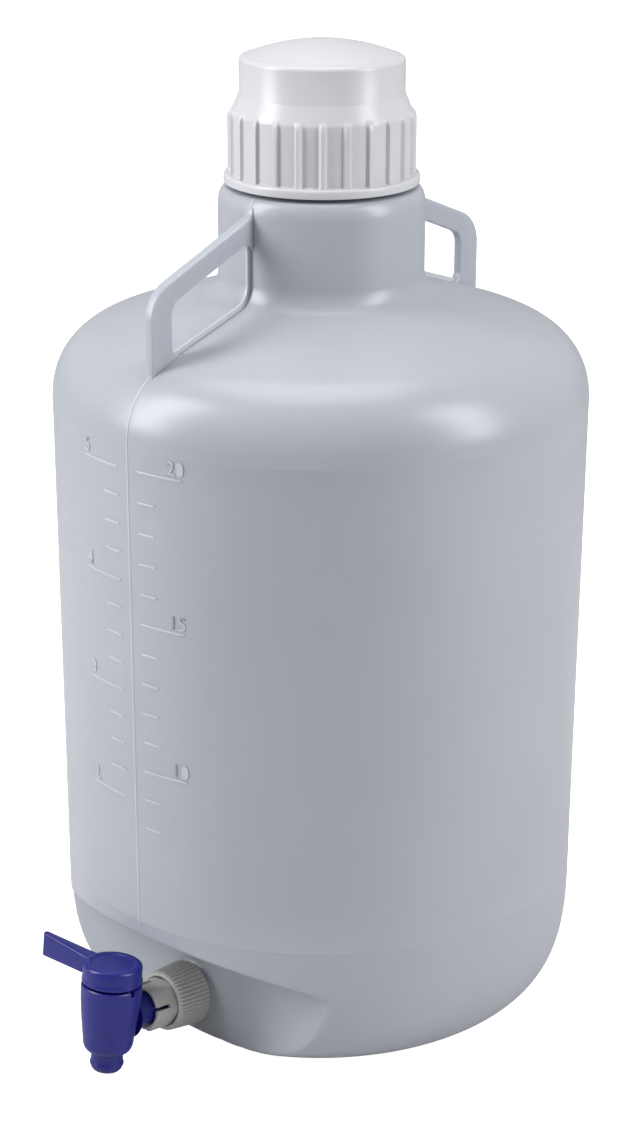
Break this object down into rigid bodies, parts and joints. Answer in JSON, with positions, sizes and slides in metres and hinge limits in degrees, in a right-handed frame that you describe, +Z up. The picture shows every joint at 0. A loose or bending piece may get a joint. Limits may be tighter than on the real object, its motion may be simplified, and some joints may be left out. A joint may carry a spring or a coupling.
{
  "type": "dispensing carboy",
  "caption": "Round translucent plastic dispensing carboy with moulded handles, a ribbed screw cap and a quarter-turn lever tap on a recessed panel at its foot.",
  "frame": {"origin": "centre of the underside, on the tank's axis, on the surface that the carboy stands on", "axes": "+Z up along the tank's axis; the tap points along -Y and 6.5 degrees up, square to its leaning panel; the handles lie along -Y and +Y; the closed lever points along -X"},
  "size_m": [0.286, 0.3222, 0.5294],
  "materials": {
    "tank_plastic": "natural blow-moulded polypropylene, translucent, satin",
    "cap_plastic": "white injection-moulded polypropylene, semi-gloss",
    "nut_plastic": "light grey injection-moulded polypropylene",
    "tap_plastic": "royal blue injection-moulded polypropylene, semi-gloss",
    "plug_plastic": "natural polyethylene",
    "gasket_rubber": "translucent silicone rubber",
    "o_ring_rubber": "black nitrile rubber"
  },
  "bodies": {
    "tank": {"carboy_body": "tank_plastic", "boss_gasket": "gasket_rubber", "union_nut": "nut_plastic", "snap_collar": "nut_plastic"},
    "cap_carrier": {"cap_gasket": "gasket_rubber"},
    "cap": {"screw_cap": "cap_plastic"},
    "tap": {"tap_body": "tap_plastic", "stem_o_ring": "o_ring_rubber"},
    "lever": {"lever_handle": "tap_plastic", "valve_plug": "plug_plastic", "plug_o_ring_upper": "o_ring_rubber", "plug_o_ring_lower": "o_ring_rubber"}
  },
  "joints": [
    {"name": "cap_rise", "type": "slide", "parent": "tank", "child": "cap_carrier", "axis": [0, 0, 1], "range_m": [0, 0.0421]},
    {"name": "cap_turn", "type": "hinge", "parent": "cap_carrier", "child": "cap", "pos_m": [0, 0, 0.493], "axis": [0, 0, 1], "range_deg": [0, 1260]},
    {"name": "tap_swivel", "type": "hinge", "parent": "tank", "child": "tap", "pos_m": [0, -0.1645, 0.02973], "axis": [0, -0.9936, 0.1132], "range_deg": [-90, 20]},
    {"name": "lever_turn", "type": "hinge", "parent": "tap", "child": "lever", "pos_m": [0, -0.1645, 0.02973], "axis": [0, 0.1132, 0.9936], "range_deg": [0, 90]}
  ],
  "couplings": [
    {"joint": "cap_rise", "follows": "cap_turn", "m_per_rad": 0.0019099}
  ]
}
